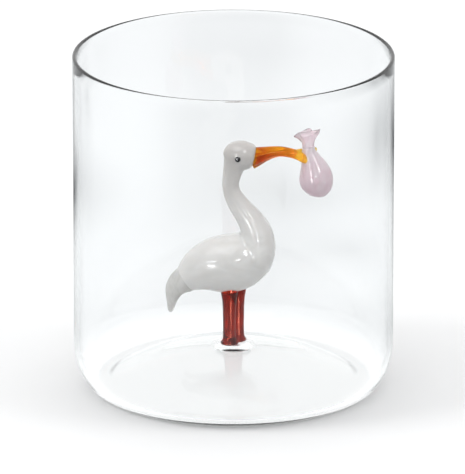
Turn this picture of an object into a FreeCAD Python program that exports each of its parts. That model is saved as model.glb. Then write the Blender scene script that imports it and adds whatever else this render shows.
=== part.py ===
import FreeCAD, Part

# A drinking glass with a lampworked glass stork standing inside it, a bundle in its beak.
#
# Units are millimetres and +Z is up. The origin is the centre of the foot ring, on the surface
# that the glass stands on. The stork faces +X, so its right side is towards -Y.
# Each gather of glass is its own solid. Where two of them are fused, one is cut to fit the other,
# so that they meet face to face.

import math
import os

from FreeCAD import Vector

# ---- driving dimensions: the tumbler -------------------------------------------------------
OUTER_RADIUS = 40.0
HEIGHT = 85.5
WALL = 1.5
FLOOR = 2.0
CORNER_WIDTH = 6.0  # how far the outer wall turns in at the base
CORNER_HEIGHT = 11.0  # how high above the base it starts to turn in
HILL_RADIUS = 31.0  # the floor is pushed up inside this radius, as a low dome
HILL_FOOT = 32.2  # where the dome has flowed out level into the foot ring
HILL_RISE = 7.6

# ---- driving dimensions: the stork's legs and the pad they stand on ------------------------
LEG_RADIUS = 1.7
LEG_SPACING_X = 2.0
LEG_SPACING_Y = 2.7
FOOT_RADIUS = 2.35
HIP_RADIUS = 2.6
HIP_TOP = 26.0
PAD_RADIUS = 4.8
PAD_THICKNESS = 0.8

# ---- driving dimensions: the stork's eyes ---------------------------------------------------
EYE_RADIUS = 0.78
EYE_X = 1.05
EYE_Z = 59.15
EYE_DEPTH = 3.0  # from the middle plane to the centre of each bead

INNER_RADIUS = OUTER_RADIUS - WALL
FOOT_RING_OUTER = OUTER_RADIUS - CORNER_WIDTH
FLOOR_OUTER = FOOT_RING_OUTER - 0.8
FLOOR_TOP = FLOOR + HILL_RISE
LEG_BOTTOM = FLOOR_TOP + PAD_THICKNESS

# ---- the stork's forms ------------------------------------------------------------------------
# Each form is a row of oval sections along a curved spine, in the order x, y, z of the centre,
# then half the height across the spine and half the width along Y.
OVAL_POINTS = 12

# White glass: the body, from the core that thins out inside the tail to the front of the breast.
BODY = [
    (-15.6, 0.0, 19.3, 0.25, 0.25),
    (-15.35, 0.0, 20.4, 0.5, 0.5),
    (-14.95, 0.0, 21.9, 0.85, 0.8),
    (-14.3, 0.0, 23.4, 1.4, 1.3),
    (-13.1, 0.0, 25.1, 2.35, 2.2),
    (-11.2, 0.0, 27.2, 4.0, 3.5),
    (-8.4, 0.0, 29.2, 5.7, 4.8),
    (-4.9, 0.0, 30.5, 7.0, 5.8),
    (-0.8, 0.0, 31.1, 7.5, 6.2),
    (3.3, 0.0, 32.1, 6.9, 5.9),
    (6.6, 0.0, 33.0, 5.1, 4.7),
    (8.6, 0.0, 33.7, 3.2, 3.0),
    (9.6, 0.0, 34.1, 1.1, 1.0),
]

# White glass: the neck, from inside the head down to inside the breast.
NECK = [
    (0.6, 0.0, 58.5, 2.9, 2.6),
    (0.2, 0.0, 56.6, 2.75, 2.45),
    (-0.35, 0.0, 54.3, 2.35, 2.15),
    (-0.75, 0.0, 51.6, 2.13, 2.0),
    (-0.25, 0.0, 49.2, 2.25, 2.1),
    (1.05, 0.0, 46.8, 2.6, 2.4),
    (2.85, 0.0, 44.3, 2.95, 2.95),
    (4.5, 0.0, 41.9, 3.45, 3.65),
    (5.7, 0.0, 39.0, 4.05, 4.5),
    (6.05, 0.0, 35.9, 4.5, 5.3),
    (5.6, 0.0, 32.6, 4.5, 5.7),
    (4.6, 0.0, 30.2, 3.6, 4.6),
]

# White glass: the head, from the nape to the root of the beak.
HEAD = [
    (-2.45, 0.0, 58.9, 0.5, 0.45),
    (-2.1, 0.0, 59.0, 1.6, 1.4),
    (-1.1, 0.0, 59.15, 2.75, 2.4),
    (0.4, 0.0, 59.3, 3.5, 3.1),
    (2.1, 0.0, 59.2, 3.75, 3.35),
    (3.7, 0.0, 59.0, 3.45, 3.1),
    (4.8, 0.0, 58.8, 3.0, 2.7),
    (5.6, 0.0, 58.6, 2.55, 2.3),
]

# Clear glass: the tail, whose end turns down to a blunt point.
TAIL = [
    (-15.85, 0.0, 18.35, 0.35, 0.35),
    (-15.75, 0.0, 19.1, 0.8, 0.75),
    (-15.55, 0.0, 20.6, 1.15, 1.05),
    (-15.3, 0.0, 22.3, 1.7, 1.5),
    (-14.7, 0.0, 24.2, 2.45, 2.1),
    (-13.6, 0.0, 25.7, 3.05, 2.65),
    (-12.3, 0.0, 26.7, 3.45, 3.05),
    (-10.9, 0.0, 27.6, 3.6, 3.2),
]

# Amber glass: the upper half of the beak, whose tip turns down in front of the bundle's neck.
UPPER_BEAK = [
    (4.7, 0.0, 58.75, 2.5, 2.3),
    (6.2, 0.0, 59.2, 2.15, 2.05),
    (8.0, -0.05, 59.75, 1.7, 1.75),
    (10.0, -0.15, 60.2, 1.37, 1.5),
    (12.0, -0.3, 60.3, 1.28, 1.3),
    (14.0, -0.5, 60.05, 1.2, 1.2),
    (15.8, -0.7, 59.55, 1.18, 1.1),
    (17.1, -0.85, 58.85, 1.12, 1.0),
    (17.8, -0.9, 58.1, 0.9, 0.85),
    (18.05, -0.9, 57.55, 0.45, 0.45),
]

# Amber glass: the lower half of the beak, which passes behind the bundle's neck.
LOWER_BEAK = [
    (4.7, 0.1, 57.1, 1.45, 1.5),
    (6.2, 0.2, 57.7, 1.2, 1.25),
    (8.0, 0.35, 58.5, 0.95, 1.05),
    (10.0, 0.55, 59.15, 0.75, 0.9),
    (12.0, 0.8, 59.4, 0.65, 0.8),
    (14.0, 1.15, 59.5, 0.65, 0.7),
    (16.2, 1.65, 59.65, 0.65, 0.65),
    (18.4, 2.1, 59.9, 0.65, 0.6),
    (20.0, 2.05, 60.15, 0.62, 0.55),
    (20.8, 1.9, 60.2, 0.35, 0.3),
]

# Pink glass: the bundle, a hanging drop whose neck is held in the beak.
BUNDLE = [
    (20.95, 0.4, 48.4, 0.8, 0.7),
    (21.0, 0.4, 49.0, 2.35, 2.0),
    (20.95, 0.4, 50.6, 3.7, 3.2),
    (20.7, 0.4, 52.5, 4.22, 3.7),
    (20.4, 0.45, 54.4, 4.05, 3.55),
    (19.95, 0.5, 56.2, 3.4, 3.0),
    (19.4, 0.55, 57.9, 2.6, 2.35),
    (18.85, 0.6, 59.6, 1.9, 1.75),
    (18.6, 0.6, 61.2, 1.55, 1.4),
]

# Pink glass: the gathered ends of the bundle's cloth, flared above the neck.
GATHER = [
    (18.6, 0.6, 61.2, 1.55, 1.4),
    (18.6, 0.6, 62.4, 1.55, 1.35),
    (18.5, 0.6, 63.4, 2.1, 1.5),
    (18.4, 0.6, 64.3, 2.75, 1.65),
    (18.3, 0.6, 64.9, 2.95, 1.7),
]


def oval(station, spine):
    """A closed oval wire across the spine direction, wider or narrower along Y."""
    x, y, z, half_height, half_width = station
    tilt = math.degrees(math.atan2(spine.x, spine.z))
    turns = [2 * math.pi * i / OVAL_POINTS for i in range(OVAL_POINTS)]
    points = [Vector(half_height * math.cos(a), half_width * math.sin(a), 0) for a in turns]
    curve = Part.BSplineCurve()
    curve.interpolate(Points=points, PeriodicFlag=True)
    wire = Part.Wire(curve.toShape())
    wire.rotate(Vector(0, 0, 0), Vector(0, 1, 0), tilt)
    wire.translate(Vector(x, y, z))
    return wire


def form(stations):
    """A smooth closed solid through a row of oval sections."""
    centres = [Vector(*station[:3]) for station in stations]
    last = len(centres) - 1
    wires = []
    for i, station in enumerate(stations):
        spine = centres[min(i + 1, last)] - centres[max(i - 1, 0)]
        wires.append(oval(station, spine))
    return Part.makeLoft(wires, True, False)


def hill(radius, base):
    """Height of the floor at a radius inside the dome."""
    return base + HILL_RISE * (1 - (radius / HILL_RADIUS) ** 2)


def hill_curve(base):
    """The floor's profile from the axis out to the foot ring, level at both ends."""
    points = [Vector(r, 0, hill(r, base)) for r in (0.0, 7.0, 14.0, 21.0, 25.0, 28.0)]
    points.append(Vector(29.8, 0, base + 0.7))
    points.append(Vector(31.1, 0, base + 0.14))
    points.append(Vector(HILL_FOOT, 0, base))
    curve = Part.BSplineCurve()
    curve.interpolate(Points=points, InitialTangent=Vector(1, 0, 0), FinalTangent=Vector(1, 0, 0))
    return curve.toShape()


def line(start, end):
    return Part.LineSegment(Vector(*start), Vector(*end)).toShape()


def corner(centre, width, height):
    """A quarter of an ellipse from straight below its centre to straight outwards."""
    middle = Vector(*centre)
    outwards = middle + Vector(width, 0, 0)
    upwards = middle + Vector(0, 0, height)
    if width >= height:
        ellipse = Part.Ellipse(outwards, upwards, middle)
    else:
        ellipse = Part.Ellipse(upwards, outwards, middle)
    low = ellipse.parameter(middle - Vector(0, 0, height))
    high = ellipse.parameter(outwards)
    if high < low:
        high += 2 * math.pi
    if high - low > math.pi:
        low, high = high, low + 2 * math.pi
    return Part.ArcOfEllipse(ellipse, low, high).toShape()


def spun(edges):
    """The solid that a closed profile sweeps round the Z axis."""
    face = Part.Face(Part.Wire(Part.__sortEdges__(edges)))
    return face.revolve(Vector(0, 0, 0), Vector(0, 0, 1), 360)


def make_tumbler():
    """The clear blown glass: foot ring, hill in the floor, straight wall and rounded lip."""
    lip = WALL / 2
    shoulder = HEIGHT - lip
    inner_corner_height = CORNER_HEIGHT - FLOOR
    lip_arc = Part.Arc(
        Vector(OUTER_RADIUS, 0, shoulder),
        Vector(OUTER_RADIUS - lip, 0, HEIGHT),
        Vector(INNER_RADIUS, 0, shoulder),
    ).toShape()
    return spun(
        [
            hill_curve(0.0),
            line((HILL_FOOT, 0, 0), (FOOT_RING_OUTER, 0, 0)),
            corner((FOOT_RING_OUTER, 0, CORNER_HEIGHT), CORNER_WIDTH, CORNER_HEIGHT),
            line((OUTER_RADIUS, 0, CORNER_HEIGHT), (OUTER_RADIUS, 0, shoulder)),
            lip_arc,
            line((INNER_RADIUS, 0, shoulder), (INNER_RADIUS, 0, CORNER_HEIGHT)),
            corner((FLOOR_OUTER, 0, CORNER_HEIGHT), INNER_RADIUS - FLOOR_OUTER, inner_corner_height),
            line((FLOOR_OUTER, 0, FLOOR), (HILL_FOOT, 0, FLOOR)),
            hill_curve(FLOOR),
            line((0, 0, FLOOR_TOP), (0, 0, HILL_RISE)),
        ]
    )


def make_foot_pad(tumbler):
    """A low clear button of glass that welds the legs to the top of the hill."""
    sunk = 1.0
    edge_height = 0.35
    edge = Part.Arc(
        Vector(0, 0, LEG_BOTTOM),
        Vector(PAD_RADIUS * 0.6, 0, LEG_BOTTOM - 0.28),
        Vector(PAD_RADIUS, 0, LEG_BOTTOM - PAD_THICKNESS - edge_height),
    ).toShape()
    low = FLOOR_TOP - sunk
    pad = spun(
        [
            edge,
            line((PAD_RADIUS, 0, LEG_BOTTOM - PAD_THICKNESS - edge_height), (PAD_RADIUS, 0, low)),
            line((PAD_RADIUS, 0, low), (0, 0, low)),
            line((0, 0, low), (0, 0, LEG_BOTTOM)),
        ]
    )
    return pad.cut(tumbler)


def make_leg(x, y):
    """A red glass rod with a small foot at the bottom, flared at the hip."""
    foot_height = 0.45
    ankle = LEG_BOTTOM + 1.3
    thigh = HIP_TOP - 6.5
    bottom = LEG_BOTTOM - 0.3
    sole = line((0, 0, bottom), (FOOT_RADIUS, 0, bottom))
    foot = Part.Arc(
        Vector(FOOT_RADIUS, 0, bottom + foot_height),
        Vector(LEG_RADIUS + 0.2, 0, bottom + foot_height + 0.4),
        Vector(LEG_RADIUS, 0, ankle),
    ).toShape()
    flare = Part.BSplineCurve()
    flare.interpolate(
        Points=[
            Vector(LEG_RADIUS, 0, thigh),
            Vector(LEG_RADIUS + 0.28, 0, thigh + 3.4),
            Vector(HIP_RADIUS, 0, HIP_TOP),
        ],
        InitialTangent=Vector(0, 0, 1),
        FinalTangent=Vector(0.35, 0, 1),
    )
    leg = spun(
        [
            sole,
            line((FOOT_RADIUS, 0, bottom), (FOOT_RADIUS, 0, bottom + foot_height)),
            foot,
            line((LEG_RADIUS, 0, ankle), (LEG_RADIUS, 0, thigh)),
            flare.toShape(),
            line((HIP_RADIUS, 0, HIP_TOP), (0, 0, HIP_TOP)),
            line((0, 0, HIP_TOP), (0, 0, bottom)),
        ]
    )
    leg.translate(Vector(x, y, 0))
    return leg


def make_eye(side):
    """A dark bead pressed into one side of the head."""
    return Part.makeSphere(EYE_RADIUS, Vector(EYE_X, side * EYE_DEPTH, EYE_Z))


def make_parts():
    """Every piece by name, each one cut to fit the pieces that it is fused to."""
    tumbler = make_tumbler()
    foot_pad = make_foot_pad(tumbler)

    right_eye = make_eye(-1)
    left_eye = make_eye(1)
    upper_beak = form(UPPER_BEAK)
    lower_beak = form(LOWER_BEAK).cut(upper_beak)
    head = form(HEAD).cut(upper_beak).cut(lower_beak).cut(right_eye).cut(left_eye)

    body = form(BODY)
    neck = form(NECK).cut(body).cut(form(HEAD))
    tail = form(TAIL).cut(body)

    right_leg = make_leg(-LEG_SPACING_X / 2, -LEG_SPACING_Y / 2).cut(body).cut(tumbler)
    left_leg = make_leg(LEG_SPACING_X / 2, LEG_SPACING_Y / 2).cut(body).cut(tumbler).cut(right_leg)
    foot_pad = foot_pad.cut(right_leg).cut(left_leg)

    bundle = form(BUNDLE).cut(upper_beak).cut(lower_beak)
    gather = form(GATHER)

    return {
        "tumbler": tumbler,
        "foot_pad": foot_pad,
        "right_leg": right_leg,
        "left_leg": left_leg,
        "body": body,
        "tail": tail,
        "neck": neck,
        "head": head,
        "right_eye": right_eye,
        "left_eye": left_eye,
        "upper_beak": upper_beak,
        "lower_beak": lower_beak,
        "bundle": bundle,
        "bundle_gather": gather,
    }


os.makedirs("parts", exist_ok=True)
for name, shape in make_parts().items():
    solids = sorted(shape.Solids, key=lambda s: -s.Volume)
    print(f"{name}: {len(solids)} solid(s), volume {shape.Volume:.1f} mm3, valid {shape.isValid()}")
    print("   ", [round(s.Volume, 3) for s in solids], shape.BoundBox)
    shape.exportStep(f"parts/{name}.step")
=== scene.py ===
import math

import bmesh
import bpy
from mathutils import Matrix, Vector


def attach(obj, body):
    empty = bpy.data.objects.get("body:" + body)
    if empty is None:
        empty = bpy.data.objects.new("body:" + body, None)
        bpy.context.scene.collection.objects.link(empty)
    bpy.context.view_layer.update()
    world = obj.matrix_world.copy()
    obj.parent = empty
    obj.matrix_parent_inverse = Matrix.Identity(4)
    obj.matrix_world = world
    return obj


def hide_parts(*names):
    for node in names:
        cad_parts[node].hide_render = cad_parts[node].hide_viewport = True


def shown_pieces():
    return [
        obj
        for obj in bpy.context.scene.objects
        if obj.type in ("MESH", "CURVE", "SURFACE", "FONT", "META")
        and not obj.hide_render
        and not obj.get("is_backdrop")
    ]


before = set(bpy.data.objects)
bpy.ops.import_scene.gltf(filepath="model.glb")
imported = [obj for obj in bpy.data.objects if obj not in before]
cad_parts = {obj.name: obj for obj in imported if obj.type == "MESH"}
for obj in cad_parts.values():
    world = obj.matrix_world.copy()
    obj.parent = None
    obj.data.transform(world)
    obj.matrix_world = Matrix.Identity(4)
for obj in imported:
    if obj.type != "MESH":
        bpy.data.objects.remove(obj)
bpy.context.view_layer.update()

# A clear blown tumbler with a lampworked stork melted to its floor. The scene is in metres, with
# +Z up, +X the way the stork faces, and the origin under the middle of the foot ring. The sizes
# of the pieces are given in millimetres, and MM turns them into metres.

MM = 0.001


# ---- camera -----------------------------------------------------------------------------------

LENS = 585.8
SENSOR_WIDTH = 36.0
FARTHEST = 50.0
CAMERA_PLACE = (-0.00025, -1.8323, 0.6317)
CAMERA_AIM = (-0.00025, 0.0, 0.0379)


def set_camera():
    """A long lens, looking down into the glass."""
    data = bpy.data.cameras.new("camera")
    data.lens = LENS
    data.sensor_width = SENSOR_WIDTH
    data.clip_end = FARTHEST
    camera = bpy.data.objects.new("camera", data)
    bpy.context.collection.objects.link(camera)
    camera.location = CAMERA_PLACE
    aim = Vector(CAMERA_AIM) - camera.location
    camera.rotation_euler = aim.to_track_quat("-Z", "Y").to_euler()
    bpy.context.scene.camera = camera


set_camera()


# ---- shaping helpers ---------------------------------------------------------------------------

STEPS = 6  # sections made for each station of a row
THINNEST = 0.02  # half of the smallest section, so that none closes to a point
MERGE_GAP = 0.000002


def between(low, high, share):
    """The value at a share of the way from low to high."""
    return low + (high - low) * share


def clamped(value):
    """A value kept within 0 to 1."""
    return min(1.0, max(0.0, value))


def curve_value(before, start, end, after, t):
    """A value at a share t of the way from start to end, on a smooth curve through all four."""
    slope = (end - before) * t
    bend = (2 * before - 5 * start + 4 * end - after) * t * t
    swing = (3 * start - before - 3 * end + after) * t ** 3
    return 0.5 * (2 * start + slope + bend + swing)


def smooth_row(row):
    """More stations between the given ones, on a smooth curve through them."""
    out = []
    last = len(row) - 1
    for i in range(last):
        four = (row[max(i - 1, 0)], row[i], row[i + 1], row[min(i + 2, last)])
        for k in range(STEPS):
            out.append(tuple(curve_value(*values, k / STEPS) for values in zip(*four)))
    out.append(tuple(row[last]))
    return out


def section_frame(row, i):
    """The place and turn of one section, square to the curve through the stations."""
    last = len(row) - 1
    spine = Vector(row[min(i + 1, last)][:3]) - Vector(row[max(i - 1, 0)][:3])
    tilt = math.atan2(spine.x, spine.z)
    place = Matrix.Translation(Vector(row[i][:3]) * MM)
    return place @ Matrix.Rotation(tilt, 4, "Y")


def loft(bm, stations, sides=48, shape=None):
    """A closed skin over a row of oval sections.

    shape(share, angle) gives how far the outline is pushed out and how far it is lifted.
    """
    row = smooth_row(stations)
    rings = []
    for i, (x, y, z, half_height, half_width) in enumerate(row):
        height, width = max(half_height, THINNEST) * MM, max(half_width, THINNEST) * MM
        size = Matrix.Diagonal((height, width, 1.0, 1.0))
        verts = bmesh.ops.create_circle(bm, segments=sides, radius=1.0)["verts"]
        if shape:
            for v in verts:
                angle = math.atan2(v.co.y, v.co.x)
                push, lift = shape(i / (len(row) - 1), angle)
                v.co *= push
                v.co.z += lift * MM
        bmesh.ops.transform(bm, matrix=section_frame(row, i) @ size, verts=verts)
        rings.append(list({e for v in verts for e in v.link_edges}))
    for low, high in zip(rings, rings[1:]):
        bmesh.ops.bridge_loops(bm, edges=low + high)
    bmesh.ops.edgeloop_fill(bm, edges=rings[0])
    bmesh.ops.edgeloop_fill(bm, edges=rings[-1])
    return bm


def spun(bm, profile, turns=160, centre=(0.0, 0.0, 0.0)):
    """The skin that a profile of (radius, height) points sweeps round a vertical axis, in mm."""
    place = Matrix.Translation(Vector(centre) * MM)
    points = [place @ (Vector((radius, 0, height)) * MM) for radius, height in profile]
    chain = [bmesh.ops.create_vert(bm, co=points[0])["vert"][0]]
    for point in points[1:]:
        tip = bmesh.ops.extrude_vert_indiv(bm, verts=[chain[-1]])["verts"][0]
        tip.co = point
        chain.append(tip)
    edges = [e for e in bm.edges if e.verts[0] in chain and e.verts[1] in chain]
    bmesh.ops.spin(
        bm,
        geom=chain + edges,
        cent=place.translation,
        axis=(0, 0, 1),
        angle=2 * math.pi,
        steps=turns,
        use_merge=True,
    )
    bmesh.ops.remove_doubles(bm, verts=bm.verts[:], dist=MERGE_GAP)
    return bm


def melted(bm, voxel, rounds):
    """The shapes in a bmesh flowed together into one skin, as a flame leaves them.

    voxel is the finest detail kept, in millimetres, and rounds is how often it is smoothed.
    """
    mesh = bpy.data.meshes.new("melting")
    bm.to_mesh(mesh)
    bm.free()
    shape = bpy.data.objects.new("melting", mesh)
    bpy.context.collection.objects.link(shape)
    remesh = shape.modifiers.new("melt", "REMESH")
    remesh.mode = "VOXEL"
    remesh.voxel_size = voxel * MM
    remesh.adaptivity = 0.0
    ready = shape.evaluated_get(bpy.context.evaluated_depsgraph_get())
    whole = bpy.data.meshes.new_from_object(ready)
    bpy.data.objects.remove(shape)
    out = bmesh.new()
    out.from_mesh(whole)
    bpy.data.meshes.remove(whole)
    for _ in range(rounds):
        bmesh.ops.smooth_vert(
            out,
            verts=out.verts[:],
            factor=0.5,
            use_axis_x=True,
            use_axis_y=True,
            use_axis_z=True,
        )
    return out


def piece(name, bm, material, slot, *nodes):
    """A finished piece: shaded smooth, faces outwards, and standing for its CAD nodes."""
    bmesh.ops.recalc_face_normals(bm, faces=bm.faces[:])
    mesh = bpy.data.meshes.new(name)
    bm.to_mesh(mesh)
    bm.free()
    for face in mesh.polygons:
        face.use_smooth = True
    mesh.materials.append(material)
    shape = bpy.data.objects.new(name, mesh)
    bpy.context.collection.objects.link(shape)
    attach(shape, "root")
    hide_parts(*nodes)
    return shape


# ---- glass finishes ---------------------------------------------------------------------------

NOISE_LOW = 0.3
NOISE_HIGH = 0.7
MIX_SOCKETS = (0, 6, 7)  # the share and the two colours, among a mixing node's inputs
MIX_RESULT = 2  # the mixed colour, among its outputs


class Finish:
    """A node material with a Principled shader and a few helpers for its patterns."""

    def __init__(self, name):
        self.material = bpy.data.materials.new(name)
        self.material.use_nodes = True
        self.tree = self.material.node_tree
        self.shader = self.tree.nodes["Principled BSDF"]
        self.output = self.tree.nodes["Material Output"]
        self.coords = self.tree.nodes.new("ShaderNodeTexCoord").outputs["Object"]

    def set(self, **sockets):
        """Plain values for the shader's sockets, with _ for the spaces in their names."""
        for name, value in sockets.items():
            self.shader.inputs[name.replace("_", " ")].default_value = value

    def link(self, out, into):
        """Join one socket to another."""
        self.tree.links.new(out, into)

    def mapped(self, centre=(0, 0, 0), stretch=(1, 1, 1)):
        """Object coordinates about a point in millimetres, stretched."""
        node = self.tree.nodes.new("ShaderNodeMapping")
        node.vector_type = "TEXTURE"
        node.inputs["Location"].default_value = [c * MM for c in centre]
        node.inputs["Scale"].default_value = stretch
        self.link(self.coords, node.inputs["Vector"])
        return node.outputs["Vector"]

    def spot(self, centre, reach):
        """1 at a point, fading to 0 at the edge of an oval round it, both in millimetres."""
        node = self.tree.nodes.new("ShaderNodeTexGradient")
        node.gradient_type = "QUADRATIC_SPHERE"
        self.link(self.mapped(centre, [r * MM for r in reach]), node.inputs["Vector"])
        return node.outputs["Fac"]

    def noise(self, size, detail=3.0, vector=None, distortion=0.0):
        """Soft noise whose lumps are about size millimetres across."""
        node = self.tree.nodes.new("ShaderNodeTexNoise")
        node.inputs["Scale"].default_value = 1.0 / (size * MM)
        node.inputs["Detail"].default_value = detail
        node.inputs["Distortion"].default_value = distortion
        self.link(vector if vector else self.coords, node.inputs["Vector"])
        return node.outputs["Fac"]

    def ramp(self, value, *stops):
        """Colours along a value, each stop a (position, (r, g, b))."""
        node = self.tree.nodes.new("ShaderNodeValToRGB")
        ramp = node.color_ramp
        while len(ramp.elements) < len(stops):
            ramp.elements.new(0.5)
        for element, (position, colour) in zip(ramp.elements, stops):
            element.position = position
            element.color = (*colour, 1.0)
        self.link(value, node.inputs["Fac"])
        return node.outputs["Color"]

    def span(self, value, low, high, new_low=0.0, new_high=1.0):
        """A value carried from one range to another."""
        node = self.tree.nodes.new("ShaderNodeMapRange")
        node.inputs["From Min"].default_value = low
        node.inputs["From Max"].default_value = high
        node.inputs["To Min"].default_value = new_low
        node.inputs["To Max"].default_value = new_high
        self.link(value, node.inputs["Value"])
        return node.outputs["Result"]

    def spread(self, noise, low, high):
        """Noise carried from the range that most of it lies in to another one."""
        return self.span(noise, NOISE_LOW, NOISE_HIGH, low, high)

    def along(self, axis, low, high):
        """0 to 1 between two places along an axis, in millimetres."""
        node = self.tree.nodes.new("ShaderNodeSeparateXYZ")
        self.link(self.coords, node.inputs["Vector"])
        return self.span(node.outputs[axis], low * MM, high * MM)

    def combine(self, first, second, kind="ADD"):
        """Two values put together, and kept within 0 to 1 when they are added."""
        node = self.tree.nodes.new("ShaderNodeMath")
        node.operation = kind
        node.use_clamp = kind == "ADD"
        self.link(first, node.inputs[0])
        if isinstance(second, (int, float)):
            node.inputs[1].default_value = second
        else:
            self.link(second, node.inputs[1])
        return node.outputs["Value"]

    def mixed(self, share, first, second):
        """Two colours mixed by a share. Each may be a plain value or another node's output."""
        node = self.tree.nodes.new("ShaderNodeMix")
        node.data_type = "RGBA"
        sockets = [node.inputs[place] for place in MIX_SOCKETS]
        for source, socket in zip((share, first, second), sockets):
            if isinstance(source, (int, float)):
                socket.default_value = source
            elif isinstance(source, tuple):
                socket.default_value = (*source, 1.0)
            else:
                self.link(source, socket)
        return node.outputs[MIX_RESULT]

    def colour(self, tint):
        """The colour of the surface."""
        self.link(tint, self.shader.inputs["Base Color"])

    def rough(self, noise, low, high):
        """Roughness that wanders between two values with some noise."""
        self.link(self.spread(noise, low, high), self.shader.inputs["Roughness"])

    def bump(self, height, strength, depth):
        """Surface waves depth millimetres high."""
        node = self.tree.nodes.new("ShaderNodeBump")
        node.inputs["Strength"].default_value = strength
        node.inputs["Distance"].default_value = depth * MM
        self.link(height, node.inputs["Height"])
        self.link(node.outputs["Normal"], self.shader.inputs["Normal"])

    def tint_through(self, colour, density):
        """Colour that deepens with the thickness of the glass."""
        node = self.tree.nodes.new("ShaderNodeVolumeAbsorption")
        node.inputs["Color"].default_value = (*colour, 1.0)
        node.inputs["Density"].default_value = density
        self.link(node.outputs["Volume"], self.output.inputs["Volume"])


def clear_glass():
    """Clear blown glass: faint waves left by blowing, and a breath of green in its thickness."""
    glass = Finish("clear_glass")
    glass.set(Transmission_Weight=1.0, IOR=1.47, Base_Color=(1.0, 1.0, 1.0, 1.0))
    waves = glass.noise(14.0, 2.0, glass.mapped(stretch=(1.0, 1.0, 2.5)))
    smears = glass.noise(5.0, 4.0)
    glass.link(glass.span(smears, 0.4, 0.7, 0.0, 0.012), glass.shader.inputs["Roughness"])
    glass.bump(waves, 0.25, 0.05)
    glass.tint_through((0.35, 0.75, 0.72), 6.0)
    return glass.material


# painted shade: the grey that the white glass darkens to towards the head
PAINTED_HEAD_SHADE = (0.52, 0.49, 0.47)
HIP_BLUSH = (0.72, 0.36, 0.20)


def white_glass():
    """White opal glass: milky, a little see-through where it is thin, with wisps in the white.

    It is greyer towards the head, which is painted shade, and takes a blush from the legs where they join it.
    """
    glass = Finish("white_glass")
    glass.set(IOR=1.5, Subsurface_Weight=0.35, Subsurface_Scale=0.0015, Subsurface_Radius=(1.0, 0.9, 0.8))
    wisps = glass.noise(3.0, 5.0, glass.mapped(stretch=(2.2, 1.0, 1.0)), 1.2)
    milk = glass.ramp(
        wisps,
        (0.30, (0.745, 0.73, 0.71)),
        (0.55, (0.785, 0.772, 0.755)),
        (0.75, (0.83, 0.82, 0.805)),
    )
    # painted shade, deepening up the neck to the head
    head_shade_share = glass.combine(glass.along("Z", 42.0, 60.0), 0.85, "MULTIPLY")
    near_hips = glass.spot((0.0, 0.0, 23.2), (6.5, 8.0, 4.0))
    milk = glass.mixed(head_shade_share, milk, PAINTED_HEAD_SHADE)
    glass.colour(glass.mixed(near_hips, milk, HIP_BLUSH))
    glass.rough(glass.noise(1.2, 3.0), 0.05, 0.10)
    glass.bump(glass.noise(2.4, 2.0), 0.15, 0.04)
    return glass.material


def tail_glass():
    """Greyish glass, a little see-through, over the white core of the tail."""
    glass = Finish("tail_glass")
    glass.set(Transmission_Weight=0.3, IOR=1.4)
    smoke = glass.noise(1.6, 4.0, glass.mapped(stretch=(1.0, 1.0, 2.0)), 0.8)
    tint = glass.ramp(smoke, (0.35, (0.70, 0.69, 0.665)), (0.6, (0.80, 0.79, 0.77)))
    glass.colour(tint)
    glass.rough(smoke, 0.02, 0.08)
    glass.bump(smoke, 0.2, 0.05)
    glass.tint_through((0.55, 0.55, 0.50), 20.0)
    return glass.material


def amber_glass(root, tip):
    """Amber glass with faint draw lines, between two places along X.

    A thin yellow ring is followed by orange-red, which turns yellow towards the tip.
    """
    glass = Finish("amber_glass")
    glass.set(Transmission_Weight=0.85, IOR=1.3, Specular_IOR_Level=0.25, Specular_Tint=(1.0, 0.6, 0.2, 1.0))
    draw = glass.noise(0.9, 3.0, glass.mapped(stretch=(7.0, 1.0, 1.0)))
    place = glass.combine(glass.along("X", root, tip), glass.spread(draw, -0.12, 0.12))
    tint = glass.ramp(
        place,
        (0.0, (0.95, 0.60, 0.01)),
        (0.07, (0.66, 0.15, 0.003)),
        (0.35, (0.76, 0.33, 0.004)),
        (0.65, (0.84, 0.50, 0.008)),
        (1.0, (0.92, 0.66, 0.015)),
    )
    glass.colour(tint)
    glass.rough(draw, 0.07, 0.12)
    glass.bump(draw, 0.15, 0.04)
    glass.tint_through((0.90, 0.56, 0.03), 420.0)
    return glass.material


def red_glass():
    """Deep brownish red glass, with draw lines down the rods."""
    glass = Finish("red_glass")
    glass.set(Transmission_Weight=0.9, IOR=1.3, Specular_IOR_Level=0.25, Specular_Tint=(1.0, 0.25, 0.15, 1.0))
    draw = glass.noise(0.8, 3.0, glass.mapped(stretch=(1.0, 1.0, 8.0)))
    tint = glass.ramp(draw, (0.3, (0.19, 0.010, 0.004)), (0.7, (0.36, 0.036, 0.010)))
    glass.colour(tint)
    glass.rough(draw, 0.07, 0.12)
    glass.bump(draw, 0.2, 0.05)
    glass.tint_through((0.80, 0.10, 0.03), 420.0)
    return glass.material


def eye_glass():
    """Black glass, with faint grey clouds in it."""
    glass = Finish("eye_glass")
    glass.set(IOR=1.52)
    cloud = glass.noise(0.5, 3.0)
    tint = glass.ramp(cloud, (0.35, (0.012, 0.012, 0.014)), (0.7, (0.045, 0.045, 0.05)))
    glass.colour(tint)
    glass.rough(cloud, 0.04, 0.12)
    return glass.material


def pink_glass():
    """Pale pink opal glass, pinker low down, with white wisps."""
    glass = Finish("pink_glass")
    glass.set(IOR=1.5, Subsurface_Weight=0.35, Subsurface_Scale=0.0012, Subsurface_Radius=(1.0, 0.7, 0.8))
    wisps = glass.noise(2.2, 4.0, glass.mapped(stretch=(1.0, 1.0, 1.8)), 1.0)
    height = glass.along("Z", 48.0, 62.0)
    place = glass.combine(height, glass.spread(wisps, -0.25, 0.25))
    tint = glass.ramp(
        place,
        (0.1, (0.69, 0.51, 0.575)),
        (0.5, (0.70, 0.57, 0.615)),
        (0.95, (0.72, 0.635, 0.665)),
    )
    glass.colour(tint)
    glass.rough(glass.noise(1.0, 3.0), 0.05, 0.12)
    glass.bump(glass.noise(2.0, 2.0), 0.2, 0.05)
    return glass.material


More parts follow.
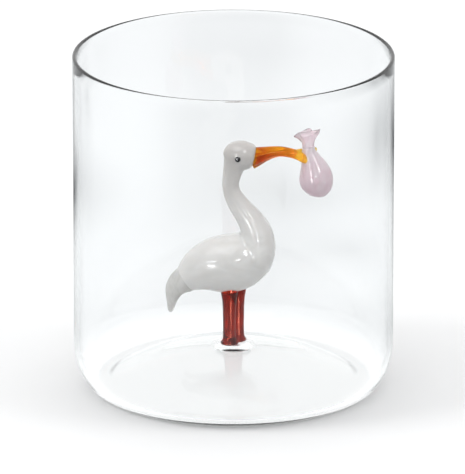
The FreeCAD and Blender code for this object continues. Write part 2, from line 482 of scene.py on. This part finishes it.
def pink_clear_glass():
    """Thin pink glass, nearly clear where the gathered edge is drawn out."""
    glass = Finish("pink_clear_glass")
    glass.set(Transmission_Weight=0.55, IOR=1.48)
    wisps = glass.noise(1.2, 4.0, glass.mapped(stretch=(1.0, 1.0, 2.5)), 1.0)
    tint = glass.ramp(wisps, (0.3, (0.80, 0.62, 0.68)), (0.7, (0.92, 0.86, 0.88)))
    glass.colour(tint)
    glass.rough(wisps, 0.04, 0.14)
    glass.bump(wisps, 0.25, 0.06)
    return glass.material


CLEAR = clear_glass()
WHITE = white_glass()
SMOKY = tail_glass()
AMBER = amber_glass(root=5.0, tip=18.0)
RED = red_glass()
BLACK = eye_glass()
PINK = pink_glass()
PALE_PINK = pink_clear_glass()


# ---- the tumbler ------------------------------------------------------------------------------

OUTER_RADIUS = 40.0
HEIGHT = 85.5
WALL = 1.5
LIP = 1.05
FLOOR = 2.0
RING_FLOOR = 1.5
CORNER_WIDTH = 6.0
CORNER_HEIGHT = 11.0
CORNER_INSET = 0.4  # the inside corner starts this much nearer the middle than the outside one
LIP_TAPER = 1.5  # how quickly the wall thins towards the lip
DOME_RADIUS = 31.0
DOME_RISE = 7.6
DOME_EDGE = 33.4  # where the pushed-up floor has become quite level
DOME_FADE = 4.0
DOME_SOFTNESS = 0.7
THINNING_START = 31.0  # the floor is RING_FLOOR thick here, and FLOOR thick further in
THINNING_WIDTH = 12.0
WELD_RADIUS = 5.6
WELD_PAD = [
    (5.2, 9.38),
    (4.8, 9.45),
    (4.4, 9.6),
    (4.0, 9.83),
    (3.6, 10.05),
    (3.2, 10.2),
    (2.8, 10.28),
    (2.0, 10.33),
    (1.0, 10.34),
    (0.0, 10.35),
]
DOME_STEPS = 40
WALL_STEPS = 24
CORNER_STEPS = 20
LIP_STEPS = 14
TUMBLER_TURNS = 192


def dome(radius, base):
    """Height of the pushed-up floor, which flows out level into the foot ring."""
    above = DOME_RISE * (1 - (radius / DOME_RADIUS) ** 2)
    soft = 0.5 * (above + math.sqrt(above * above + DOME_SOFTNESS))
    share = clamped((DOME_EDGE - radius) / DOME_FADE)
    return base + soft * share * share * (3 - 2 * share)


def arc(centre_radius, centre_height, width, height, start, end, count):
    """Points on an ellipse, from one angle to another in degrees, 0 outwards and 90 up."""
    points = []
    for k in range(count + 1):
        angle = math.radians(between(start, end, k / count))
        radius = centre_radius + width * math.cos(angle)
        points.append((radius, centre_height + height * math.sin(angle)))
    return points


def tumbler_profile():
    """Up the outside from under the dome, over the lip and down to the weld on the dome's top."""
    inner = OUTER_RADIUS - WALL
    lip = LIP / 2
    ring = OUTER_RADIUS - CORNER_WIDTH
    floor_edge = ring - CORNER_INSET
    wall_top = HEIGHT - lip
    reach = [DOME_EDGE * k / DOME_STEPS for k in range(DOME_STEPS + 1)]
    shares = [k / WALL_STEPS for k in range(1, WALL_STEPS)]
    points = [(radius, dome(radius, 0.0)) for radius in reach]
    points += arc(ring, CORNER_HEIGHT, CORNER_WIDTH, CORNER_HEIGHT, -90, 0, CORNER_STEPS)
    points += [(OUTER_RADIUS, between(CORNER_HEIGHT, wall_top, share)) for share in shares]
    points += arc(OUTER_RADIUS - lip, wall_top, lip, lip, 0, 180, LIP_STEPS)
    for share in shares:
        radius = inner + (WALL - LIP) * (1 - share) ** LIP_TAPER
        points.append((radius, between(wall_top, CORNER_HEIGHT, share)))
    corner_height = CORNER_HEIGHT - RING_FLOOR
    points += arc(floor_edge, CORNER_HEIGHT, inner - floor_edge, corner_height, 0, -90, CORNER_STEPS)
    for radius in reversed(reach):
        if WELD_RADIUS < radius < floor_edge:
            share = clamped((THINNING_START - radius) / THINNING_WIDTH)
            points.append((radius, dome(radius, between(RING_FLOOR, FLOOR, share))))
    return points + WELD_PAD


def make_tumbler():
    """The blown glass, with the pad of clear glass that the legs are welded to."""
    bm = spun(bmesh.new(), tumbler_profile(), TUMBLER_TURNS)
    return piece("blown_tumbler", bm, CLEAR, "clear_glass", "tumbler", "foot_pad")


# ---- the stork --------------------------------------------------------------------------------

# Rows of oval sections, in millimetres: x, y, z, half the height across the row, half the width.

BODY = [
    (-15.6, 0.0, 19.3, 0.25, 0.25),
    (-15.35, 0.0, 20.4, 0.5, 0.5),
    (-14.95, 0.0, 21.9, 0.85, 0.8),
    (-14.3, 0.0, 23.4, 1.4, 1.3),
    (-13.1, 0.0, 25.1, 2.35, 2.2),
    (-11.2, 0.0, 27.2, 4.0, 3.5),
    (-8.4, 0.0, 29.2, 5.7, 4.8),
    (-4.9, 0.0, 30.5, 7.0, 5.8),
    (-0.8, 0.0, 31.1, 7.5, 6.2),
    (3.3, 0.0, 32.1, 6.9, 5.9),
    (6.6, 0.0, 33.0, 5.1, 4.7),
    (8.6, 0.0, 33.7, 3.2, 3.0),
    (9.6, 0.0, 34.1, 1.1, 1.0),
]
NECK = [
    (0.6, 0.0, 58.5, 2.9, 2.6),
    (0.2, 0.0, 56.6, 2.75, 2.45),
    (-0.35, 0.0, 54.3, 2.35, 2.15),
    (-0.75, 0.0, 51.6, 2.13, 2.0),
    (-0.25, 0.0, 49.2, 2.25, 2.1),
    (1.05, 0.0, 46.8, 2.6, 2.4),
    (2.85, 0.0, 44.3, 2.95, 2.95),
    (4.5, 0.0, 41.9, 3.45, 3.65),
    (5.7, 0.0, 39.0, 4.05, 4.5),
    (6.05, 0.0, 35.9, 4.5, 5.3),
    (5.6, 0.0, 32.6, 4.5, 5.7),
    (4.6, 0.0, 30.2, 3.6, 4.6),
]
HEAD = [
    (-2.45, 0.0, 58.9, 0.5, 0.45),
    (-2.1, 0.0, 59.0, 1.6, 1.4),
    (-1.1, 0.0, 59.15, 2.75, 2.4),
    (0.4, 0.0, 59.3, 3.5, 3.1),
    (2.1, 0.0, 59.2, 3.75, 3.35),
    (3.7, 0.0, 59.0, 3.45, 3.1),
    (4.8, 0.0, 58.8, 3.0, 2.7),
    (5.4, 0.0, 58.65, 1.6, 1.5),
]
TAIL = [
    (-15.85, 0.0, 18.35, 0.35, 0.35),
    (-15.75, 0.0, 19.1, 0.8, 0.75),
    (-15.55, 0.0, 20.6, 1.15, 1.05),
    (-15.3, 0.0, 22.3, 1.7, 1.5),
    (-14.7, 0.0, 24.2, 2.45, 2.1),
    (-13.6, 0.0, 25.7, 3.05, 2.65),
    (-12.3, 0.0, 26.7, 3.45, 3.05),
    (-10.9, 0.0, 27.6, 3.6, 3.2),
]
UPPER_BEAK = [
    (4.7, 0.0, 58.75, 2.5, 2.3),
    (6.2, 0.0, 59.2, 2.15, 2.05),
    (8.0, -0.05, 59.75, 1.7, 1.75),
    (10.0, -0.15, 60.2, 1.37, 1.5),
    (12.0, -0.3, 60.3, 1.28, 1.3),
    (14.0, -0.5, 60.05, 1.2, 1.2),
    (15.8, -0.7, 59.55, 1.18, 1.1),
    (17.1, -0.85, 58.85, 1.12, 1.0),
    (17.8, -0.9, 58.1, 0.9, 0.85),
    (18.05, -0.9, 57.55, 0.45, 0.45),
]
LOWER_BEAK = [
    (4.7, 0.1, 57.1, 1.45, 1.5),
    (6.2, 0.2, 57.7, 1.2, 1.25),
    (8.0, 0.35, 58.5, 0.95, 1.05),
    (10.0, 0.55, 59.15, 0.75, 0.9),
    (12.0, 0.8, 59.4, 0.65, 0.8),
    (14.0, 1.15, 59.5, 0.65, 0.7),
    (16.2, 1.65, 59.65, 0.65, 0.65),
    (18.4, 2.1, 59.9, 0.65, 0.6),
    (20.0, 2.05, 60.15, 0.62, 0.55),
    (20.8, 1.9, 60.2, 0.35, 0.3),
]
BUNDLE = [
    (20.95, 0.4, 48.4, 0.8, 0.7),
    (21.0, 0.4, 49.0, 2.35, 2.0),
    (20.95, 0.4, 50.6, 3.7, 3.2),
    (20.7, 0.4, 52.5, 4.22, 3.7),
    (20.4, 0.45, 54.4, 4.05, 3.55),
    (19.95, 0.5, 56.2, 3.4, 3.0),
    (19.4, 0.55, 57.9, 2.6, 2.35),
    (18.85, 0.6, 59.6, 1.9, 1.75),
    (18.6, 0.6, 61.2, 1.55, 1.4),
]
GATHER = [
    (18.6, 0.6, 61.0, 1.5, 1.35),
    (18.6, 0.6, 62.4, 1.55, 1.35),
    (18.5, 0.6, 63.4, 2.1, 1.5),
    (18.4, 0.6, 64.3, 2.75, 1.65),
    (18.3, 0.6, 64.9, 2.95, 1.7),
]
LEG_RADIUS = 1.66
LEG_BOTTOM = 10.62
HIP_TOP = 26.5
EYE_X = 1.05
EYE_Y = 3.02
EYE_Z = 59.15
EYE_BEAD = [  # radius and height above the head, from the front of the bead to its back
    (0.0, 0.62),
    (0.2, 0.61),
    (0.34, 0.57),
    (0.4, 0.54),
    (0.47, 0.545),
    (0.58, 0.50),
    (0.68, 0.38),
    (0.72, 0.2),
    (0.70, 0.0),
    (0.55, -0.3),
    (0.3, -0.48),
    (0.0, -0.55),
]
MELT_DETAIL = 0.24
MELT_ROUNDS = 14
LEG_TURNS = 48
EYE_TURNS = 40
BUNDLE_SIDES = 64
FOLD_DEPTH = 0.035
FOLD_START = 0.35  # share of the bundle's height, from below, where the folds begin


def make_white():
    """Body, neck and head, drawn from one gather of white glass."""
    bm = bmesh.new()
    loft(bm, BODY)
    loft(bm, NECK)
    loft(bm, HEAD)
    bm = melted(bm, MELT_DETAIL, MELT_ROUNDS)
    return piece("white_figure", bm, WHITE, "white_glass", "body", "neck", "head")


def make_tail():
    """The glass drawn over the end of the body and down to a point."""
    bm = loft(bmesh.new(), TAIL)
    return piece("tail_casing", bm, SMOKY, "tail_glass", "tail")


def make_leg(name, x, y, node):
    """A drawn rod with a small welded foot and a flared hip."""
    profile = [
        (0.0, LEG_BOTTOM - 0.25),
        (1.9, LEG_BOTTOM - 0.25),
        (2.2, LEG_BOTTOM - 0.1),
        (2.25, LEG_BOTTOM + 0.15),
        (2.05, LEG_BOTTOM + 0.45),
        (1.78, LEG_BOTTOM + 0.9),
        (LEG_RADIUS, LEG_BOTTOM + 1.5),
        (LEG_RADIUS * 0.985, LEG_BOTTOM + 4.0),
        (LEG_RADIUS, LEG_BOTTOM + 6.5),
        (LEG_RADIUS * 1.02, LEG_BOTTOM + 9.0),
        (LEG_RADIUS * 1.12, LEG_BOTTOM + 11.3),
        (LEG_RADIUS * 1.32, LEG_BOTTOM + 13.2),
        (2.5, HIP_TOP - 1.0),
        (2.3, HIP_TOP),
        (0.0, HIP_TOP),
    ]
    bm = spun(bmesh.new(), profile, LEG_TURNS, (x, y, 0))
    return piece(name, bm, RED, "red_glass", node)


def make_eye(name, side, node):
    """A bead pressed into one side of the head, with a faint ring round its middle."""
    bm = spun(bmesh.new(), EYE_BEAD, EYE_TURNS)
    turn = Matrix.Rotation(math.radians(-90.0 * side), 4, "X")
    place = Matrix.Translation(Vector((EYE_X, EYE_Y * side, EYE_Z)) * MM)
    bmesh.ops.transform(bm, matrix=place @ turn, verts=bm.verts[:])
    return piece(name, bm, BLACK, "eye_glass", node)


def make_beak():
    """Two amber rods that hold the bundle between their tips."""
    piece("upper_bill", loft(bmesh.new(), UPPER_BEAK), AMBER, "amber_glass", "upper_beak")
    piece("lower_bill", loft(bmesh.new(), LOWER_BEAK), AMBER, "amber_glass", "lower_beak")


def bundle_folds(share, angle):
    """Soft folds that run down from the gathered neck and fade out over the drop."""
    depth = FOLD_DEPTH * max(0.0, (share - FOLD_START) / (1 - FOLD_START))
    return 1 + depth * math.cos(7 * angle + 0.6), 0.0


def frill(share, angle):
    """The cloth's ends: lobes that open out and lift towards the edge."""
    open_out = share ** 1.6
    lobes = 0.16 * math.cos(4 * angle + 0.5) + 0.07 * math.cos(7 * angle + 2.0)
    lift = 0.45 * math.cos(3 * angle + 1.1) + 0.25 * math.cos(5 * angle)
    return 1 + open_out * lobes, open_out * lift


def make_bundle():
    """The drop that hangs from the beak, and the frilled ends above it."""
    drop = loft(bmesh.new(), BUNDLE, BUNDLE_SIDES, bundle_folds)
    piece("hanging_bundle", drop, PINK, "pink_glass", "bundle")
    ends = loft(bmesh.new(), GATHER, BUNDLE_SIDES, frill)
    piece("bundle_frill", ends, PALE_PINK, "pink_clear_glass", "bundle_gather")


make_tumbler()
make_white()
make_tail()
make_leg("near_leg", -1.0, -1.35, "right_leg")
make_leg("far_leg", 1.0, 1.35, "left_leg")
make_eye("near_eye", -1, "right_eye")
make_eye("far_eye", 1, "left_eye")
make_beak()
make_bundle()


# ---- studio -----------------------------------------------------------------------------------

GROUND_RADIUS = 6.0
GROUND_DROP = 0.00008  # the glass stands just clear of the floor
# painted shade: the floor's grey where it is seen through or in the glass, though seen directly it is white
SHADED_GROUND_TONE = (0.80, 0.812, 0.82)
PAINTED_SHADE_TONE = (0.04, 0.045, 0.05)
DARKEST = 0.97  # the most of the painted shade tone that a pool can bring in
# painted light: the floor under the glass glows, though it is no lamp, wherever it is not seen directly
PAINTED_UNDER_GLOW = 0.60
PAINTED_GLOW_POOL = (0, 0, 72, 72)
PAINTED_GLOW_RISE = 4.0
# A pool is where its middle is and how far it reaches, along X and Y in millimetres.
FRONT_SHADE_DEPTH = 3.0
FRONT_SHADE_POOL = (0, -265, 420, 265)  # painted dark reflection: only in reflections, so that coloured glass keeps its depth
PAINTED_SHADE_POOLS = (  # pools of painted shade behind the glass: how deep each one is, then the pool
    (0.4, (210, 150, 170, 170)),
    (0.25, (-190, 170, 120, 140)),
    (1.1, (92, 195, 80, 82)),
    (1.0, (-85, 150, 62, 62)),
    (0.15, (25, 150, 60, 50)),
    (0.14, (35, 105, 50, 32)),
    (0.06, (10, 285, 90, 70)),
)


def pool(finish, x, y, length, width):
    """1 at a place on the floor, fading to 0 at the edge of an oval, in millimetres."""
    return finish.spot((x, y, 0), (length, width, 1000))


def darkness(sheet, depth, place):
    """The share of the painted shade tone that a pool brings in."""
    deep = sheet.combine(pool(sheet, *place), depth, "MULTIPLY")
    return sheet.combine(deep, DARKEST, "MINIMUM")


def floor_finish():
    """Plain white where it is seen directly, and uneven everywhere else.

    Seen through the glass it is painted grey, with painted light glowing under the glass and pools of painted
    shade behind it, which draw the edges of clear glass. In reflections its front is nearly black, a painted
    dark reflection.
    """
    sheet = Finish("floor")
    sheet.set(Roughness=0.7, IOR=1.2, Emission_Color=(1.0, 1.0, 1.0, 1.0))
    path = sheet.tree.nodes.new("ShaderNodeLightPath")
    seen = path.outputs["Is Camera Ray"]
    unseen = sheet.combine(seen, 0.5, "LESS_THAN")
    reflected = sheet.combine(path.outputs["Glossy Depth"], 0.5, "GREATER_THAN")
    white = sheet.ramp(sheet.noise(60.0, 3.0), (0.3, (0.91, 0.91, 0.91)), (0.7, (0.93, 0.93, 0.93)))
    # the floor's painted grey, darkened by pools of painted shade
    tone = SHADED_GROUND_TONE
    for depth, place in PAINTED_SHADE_POOLS:
        tone = sheet.mixed(darkness(sheet, depth, place), tone, PAINTED_SHADE_TONE)
    # painted dark reflection: the floor's front, seen in reflections, is painted nearly black
    front = sheet.combine(darkness(sheet, FRONT_SHADE_DEPTH, FRONT_SHADE_POOL), reflected, "MULTIPLY")
    tone = sheet.mixed(front, tone, PAINTED_SHADE_TONE)
    sheet.colour(sheet.mixed(seen, tone, white))
    # painted light: a glow under the glass, for rays that are not the camera's
    glow = sheet.combine(pool(sheet, *PAINTED_GLOW_POOL), PAINTED_GLOW_RISE, "MULTIPLY")
    glow = sheet.combine(glow, 1.0, "MINIMUM")
    glow = sheet.combine(glow, unseen, "MULTIPLY")
    glow = sheet.combine(glow, PAINTED_UNDER_GLOW, "MULTIPLY")
    sheet.link(glow, sheet.shader.inputs["Emission Strength"])
    return sheet.material


def make_floor():
    """A wide sheet that the glass stands on."""
    bm = bmesh.new()
    bmesh.ops.create_circle(bm, cap_ends=True, segments=96, radius=GROUND_RADIUS)
    bmesh.ops.translate(bm, vec=(0, 0, -GROUND_DROP), verts=bm.verts[:])
    mesh = bpy.data.meshes.new("floor")
    bm.to_mesh(mesh)
    bm.free()
    mesh.materials.append(floor_finish())
    floor = bpy.data.objects.new("floor", mesh)
    bpy.context.collection.objects.link(floor)
    floor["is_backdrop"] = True
    return floor


SKY_NEAR = (0.62, 0.635, 0.65, 1.0)
SKY_FAR = (1.0, 1.0, 1.0, 1.0)
SKY_FULL = 0.75  # how far round towards the back the sky reaches its full brightness
SKY_STRENGTH = 1.12


def make_sky():
    """Bright behind the glass, and darker towards the side that the camera stands on."""
    world = bpy.data.worlds.new("studio")
    bpy.context.scene.world = world
    world.use_nodes = True
    tree = world.node_tree
    tree.nodes.clear()
    coords = tree.nodes.new("ShaderNodeTexCoord")
    split = tree.nodes.new("ShaderNodeSeparateXYZ")
    ramp = tree.nodes.new("ShaderNodeValToRGB")
    shade = tree.nodes.new("ShaderNodeMapRange")
    background = tree.nodes.new("ShaderNodeBackground")
    output = tree.nodes.new("ShaderNodeOutputWorld")
    shade.inputs["From Min"].default_value = -1.0
    shade.inputs["From Max"].default_value = 1.0
    ramp.color_ramp.elements[0].position = 0.0
    ramp.color_ramp.elements[0].color = SKY_NEAR
    ramp.color_ramp.elements[1].position = SKY_FULL
    ramp.color_ramp.elements[1].color = SKY_FAR
    background.inputs["Strength"].default_value = SKY_STRENGTH
    tree.links.new(coords.outputs["Generated"], split.inputs["Vector"])
    tree.links.new(split.outputs["Y"], shade.inputs["Value"])
    tree.links.new(shade.outputs["Result"], ramp.inputs["Fac"])
    tree.links.new(ramp.outputs["Color"], background.inputs["Color"])
    tree.links.new(background.outputs["Background"], output.inputs["Surface"])


HIGHLIGHT_RADIANCE = 6.0  # lamps at least this bright only make highlights
FIGURE_MIDDLE = (0.0, 0.0, 0.037)


def make_light(name, place, aim, width, height, radiance, lights, shaded_by):
    """A soft rectangular lamp turned towards a point, which lights only some things."""
    data = bpy.data.lights.new(name, "AREA")
    data.shape = "RECTANGLE"
    data.size = width
    data.size_y = height
    data.energy = radiance * math.pi * width * height
    data.cycles.use_multiple_importance_sampling = lights.name != "ground"
    lamp = bpy.data.objects.new(name, data)
    bpy.context.collection.objects.link(lamp)
    lamp.location = place
    lamp.rotation_euler = (Vector(aim) - Vector(place)).to_track_quat("-Z", "Y").to_euler()
    lamp.visible_diffuse = radiance < HIGHLIGHT_RADIANCE
    lamp.light_linking.receiver_collection = lights
    lamp.light_linking.blocker_collection = shaded_by
    return lamp


def gathered(name, things):
    """A collection that only says what a lamp lights or what shades it."""
    group = bpy.data.collections.new(name)
    for thing in things:
        group.objects.link(thing)
    return group


floor = make_floor()
make_sky()
every_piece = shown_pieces()
figure = gathered("figure", [o for o in every_piece if o.name != "blown_tumbler"])
ground = gathered("ground", [floor])
everything = gathered("everything", every_piece)
legs = gathered("legs", [o for o in every_piece if o.name in ("near_leg", "far_leg")])
beak = gathered("beak", [o for o in every_piece if o.name in ("upper_bill", "lower_bill")])
make_light("fill", (-0.30, -0.50, 0.90), FIGURE_MIDDLE, 0.7, 0.7, 2.7, figure, figure)
make_light("soft_right", (0.659, -0.732, 0.21), FIGURE_MIDDLE, 0.35, 0.5, 1.2, figure, figure)
make_light("window", (-0.459, -0.840, 0.275), FIGURE_MIDDLE, 0.26, 0.11, 60.0, figure, figure)
make_light("low_strip", (-0.437, -0.896, -0.025), FIGURE_MIDDLE, 0.20, 0.26, 130.0, figure, figure)
make_light("bulb", (0.051, -0.973, 0.262), FIGURE_MIDDLE, 0.07, 0.07, 90.0, figure, figure)
make_light("high_strip", (0.303, -0.750, 0.625), FIGURE_MIDDLE, 0.14, 0.40, 25.0, figure, figure)
make_light("glint", (0.069, -0.988, 0.19), (0.012, 0.0, 0.060), 0.16, 0.12, 60.0, beak, figure)
make_light("gleam", (0.355, -0.870, -0.32), (0.0, 0.0, 0.016), 0.34, 0.42, 120.0, legs, legs)
make_light("left_lamp", (-1.0, -0.25, 0.85), (0.0, 0.0, 0.0), 0.55, 0.55, 5.4, ground, everything)
make_light("right_lamp", (1.0, -0.25, 0.85), (0.0, 0.0, 0.0), 0.55, 0.55, 3.4, ground, everything)

scene = bpy.context.scene
scene.view_settings.view_transform = "Standard"
scene.view_settings.look = "None"
